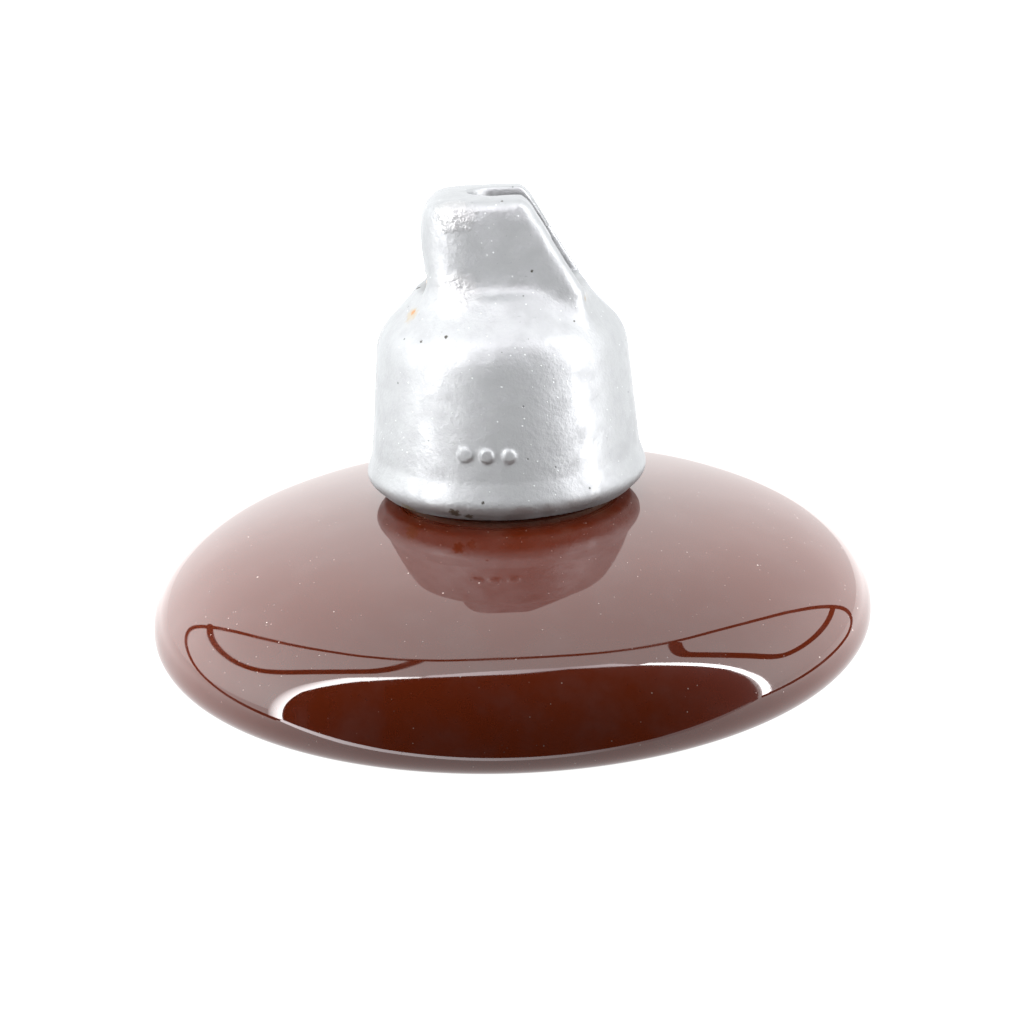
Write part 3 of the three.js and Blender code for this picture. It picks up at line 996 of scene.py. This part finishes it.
def front_panel(name, color, strength, outline, behind=0, diffuse=True, fade=None):
    """A flat glowing panel in the tent's front, with its outline as (x, z).

    The optional fade is (x of full strength, x of least strength, least share)."""
    item = make_object(name, [(x, OPENING_Y - behind, z) for x, z in outline], [range(len(outline))])
    material = emitter(name, color, strength)
    if fade:
        tree = material.node_tree
        split = tree.nodes.new("ShaderNodeSeparateXYZ")
        place = tree.nodes.new("ShaderNodeTexCoord")
        tree.links.new(place.outputs["Object"], split.inputs["Vector"])
        share = tree.nodes.new("ShaderNodeMapRange")
        full, least, least_share = fade
        set_range(share, (full * MM, least * MM, strength, strength * least_share))
        tree.links.new(split.outputs["X"], share.inputs["Value"])
        tree.links.new(share.outputs["Result"], tree.nodes["Emission"].inputs["Strength"])
    item.data.materials.append(material)
    unseen(item, diffuse)


def hoop(name, width, points):
    """A dark spring hoop sewn into the tent, through points in millimetres."""
    curve = bpy.data.curves.new(name, "CURVE")
    curve.dimensions = "3D"
    curve.bevel_depth = width / 2 * MM
    line = curve.splines.new("NURBS")
    line.points.add(len(points) - 1)
    for spot, point in zip(line.points, points):
        spot.co = (*(c * MM for c in point), 1)
    line.order_u = 3
    line.use_endpoint_u = True
    item = bpy.data.objects.new(name, curve)
    bpy.context.scene.collection.objects.link(item)
    curve.materials.append(emitter(name, HOOP_COLOR, HOOP_GLOW))
    unseen(item, False)


DARK_ROOM = [
    (-190, 0), (-196, 120), (-155, 190), (-90, 225), (0, 232), (60, 310),
    (185, 345), (240, 260), (258, 175), (232, 70), (232, 0),
]
LAMP_LEFT = [
    (-190, 0), (-268, 0), (-256, 192), (-218, 274), (-158, 264), (-95, 246),
    (-90, 225), (-155, 190), (-196, 120),
]
LAMP_RIGHT = [
    (262, 0), (258, 60), (258, 175), (240, 260), (185, 345), (185, 372), (248, 465),
    (312, 390), (322, 275), (306, 150), (345, 0),
]
SILL = [(-200, 0), (-200, 10), (200, 6), (200, 0)]
GLOW_LEFT = [(-90, 225), (-95, 275), (-30, 350), (60, 400), (60, 310), (0, 232)]
GLOW_RIGHT = [(60, 310), (60, 400), (185, 520), (185, 345)]
front_panel("dark_room", ROOM_COLOR, ROOM_GLOW, DARK_ROOM, fade=(230, 70, 0.07))
front_panel(
    "lamp_left", LAMP_LEFT_COLOR, LAMP_LEFT_GLOW, LAMP_LEFT,
    behind=1, fade=(-200, -262, 0.25),
)
front_panel("lamp_right", LAMP_RIGHT_COLOR, LAMP_RIGHT_GLOW, LAMP_RIGHT, behind=1)
front_panel(
    "sill", SILL_COLOR, SILL_GLOW, SILL,
    behind=-1, diffuse=False, fade=(-190, 60, 0.12),
)
front_panel(
    "glow_left", CLOTH_COLOR, CLOTH_GLOW, GLOW_LEFT,
    behind=1, diffuse=False, fade=(-90, 60, 0.55),
)
front_panel(
    "glow_right", CLOTH_COLOR, CLOTH_GLOW, GLOW_RIGHT,
    behind=1, diffuse=False, fade=(185, 60, 0.55),
)

fill = bpy.data.objects.new("fill_on_cap", bpy.data.lights.new("fill_on_cap", "AREA"))
fill.data.shape = "RECTANGLE"
fill.data.size, fill.data.size_y = FILL_SIZE
fill.data.energy = FILL_RADIANCE * math.pi * fill.data.size * fill.data.size_y
fill.location = FILL_PLACE
fill.rotation_euler = (math.radians(90), 0, 0)
fill.visible_camera = False
bpy.context.scene.collection.objects.link(fill)
lit_by_fill = bpy.data.collections.new("lit_by_fill")
lit_by_fill.objects.link(bpy.data.objects["cap_cast"])
fill.light_linking.receiver_collection = lit_by_fill

SEAM = [
    (-190, -142, 2), (-225, -126, 3), (-375, -50, 8), (-405, 65, 45), (-385, 155, 110), (-380, 140, 200),
    (-300, 5, 390), (-200, -72, 465), (0, -92, 450), (200, -63, 455), (335, 65, 315), (385, 130, 150),
    (390, 155, 60), (316, 89, 4), (270, -40, 3), (236, -142, 2),
]
LEFT_HOOP = [
    (-380, 140, 200), (-357, 80, 165), (-379, -5, 173), (-359, -62, 193), (-321, -98, 228),
    (-241, -123, 305), (-155, -131, 330), (-150, -80, 460),
]
RIGHT_HOOP = [
    (385, 130, 130), (373, 50, 112), (385, -45, 135), (361, -88, 162), (309, -103, 241),
    (246, -103, 295), (205, -99, 310), (207, -50, 350),
]
hoop("seam", 13, SEAM)
hoop("hoop_left", 22, LEFT_HOOP)
hoop("hoop_right", 22, RIGHT_HOOP)

corners = [(x * FLOOR_HALF, y * FLOOR_HALF, 0) for x, y in ((-1, -1), (1, -1), (1, 1), (-1, 1))]
floor = make_object("floor", corners, [range(4)])
floor.location.z = -FLOOR_DROP
pale = Surface("glowing_floor_with_painted_shade", FLOOR_COLOR, 0.9)
pale.shader.inputs["Specular IOR Level"].default_value = 0.0
pale.shader.inputs["Emission Color"].default_value = (1, 1, 1, 1)
distance = pale.node("ShaderNodeVectorMath", operation="LENGTH")
pale.link(pale.place, distance.inputs[0])
# The floor glows. Its glow is lower near the axis, as painted shade round the object.
pale.link(pale.ramp(distance.outputs["Value"], *FLOOR_GLOW_WITH_PAINTED_SHADE), pale.shader.inputs["Emission Strength"])
floor.data.materials.append(pale.done())


def tent_light():
    """The white cloth: its light depends on the direction only."""
    world = bpy.data.worlds.new("tent")
    world.use_nodes = True
    tree = world.node_tree
    background = tree.nodes["Background"].inputs

    def arithmetic(operation, *values):
        made = tree.nodes.new("ShaderNodeMath")
        made.operation = operation
        for socket, value in zip(made.inputs, values):
            if isinstance(value, float):
                socket.default_value = value
            else:
                tree.links.new(value, socket)
        return made.outputs["Value"]

    place = tree.nodes.new("ShaderNodeTexCoord")
    split = tree.nodes.new("ShaderNodeSeparateXYZ")
    tree.links.new(place.outputs["Generated"], split.inputs["Vector"])
    across, deep, up = split.outputs

    shade = tree.nodes.new("ShaderNodeValToRGB")
    while len(shade.color_ramp.elements) < len(TENT_SHARES):
        shade.color_ramp.elements.new(0.5)
    for element, (height, share) in zip(shade.color_ramp.elements, TENT_SHARES):
        element.position = height
        element.color = (share, share, share, 1)
    tree.links.new(up, shade.inputs["Fac"])
    tree.links.new(shade.outputs["Color"], background["Color"])

    lean = tree.nodes.new("ShaderNodeMapRange")
    set_range(lean, TENT_DEPTH)
    tree.links.new(deep, lean.inputs["Value"])
    curve, slope = TENT_SIDES
    sides = arithmetic("MULTIPLY_ADD", across, arithmetic("MULTIPLY_ADD", across, curve, slope), 1.0)
    tree.links.new(arithmetic("MULTIPLY", lean.outputs["Result"], sides), background["Strength"])
    return world


bpy.context.scene.world = tent_light()

# ---- Camera -----------------------------------------------------------------------------------

camera = bpy.data.objects.new("camera", bpy.data.cameras.new("camera"))
camera.data.sensor_width = SENSOR_WIDTH
camera.data.lens = LENS
camera.data.clip_start = 0.01
camera.data.clip_end = 50
down = Matrix.Rotation(math.radians(90 - CAMERA_DOWN), 4, "X")
roll = Matrix.Rotation(math.radians(CAMERA_ROLL), 4, "Z")
camera.matrix_world = Matrix.Translation(CAMERA_PLACE) @ down @ roll
bpy.context.scene.collection.objects.link(camera)
bpy.context.scene.camera = camera

view = bpy.context.scene.view_settings
view.view_transform = "Standard"
view.look = "None"
view.exposure = 0
view.gamma = 1
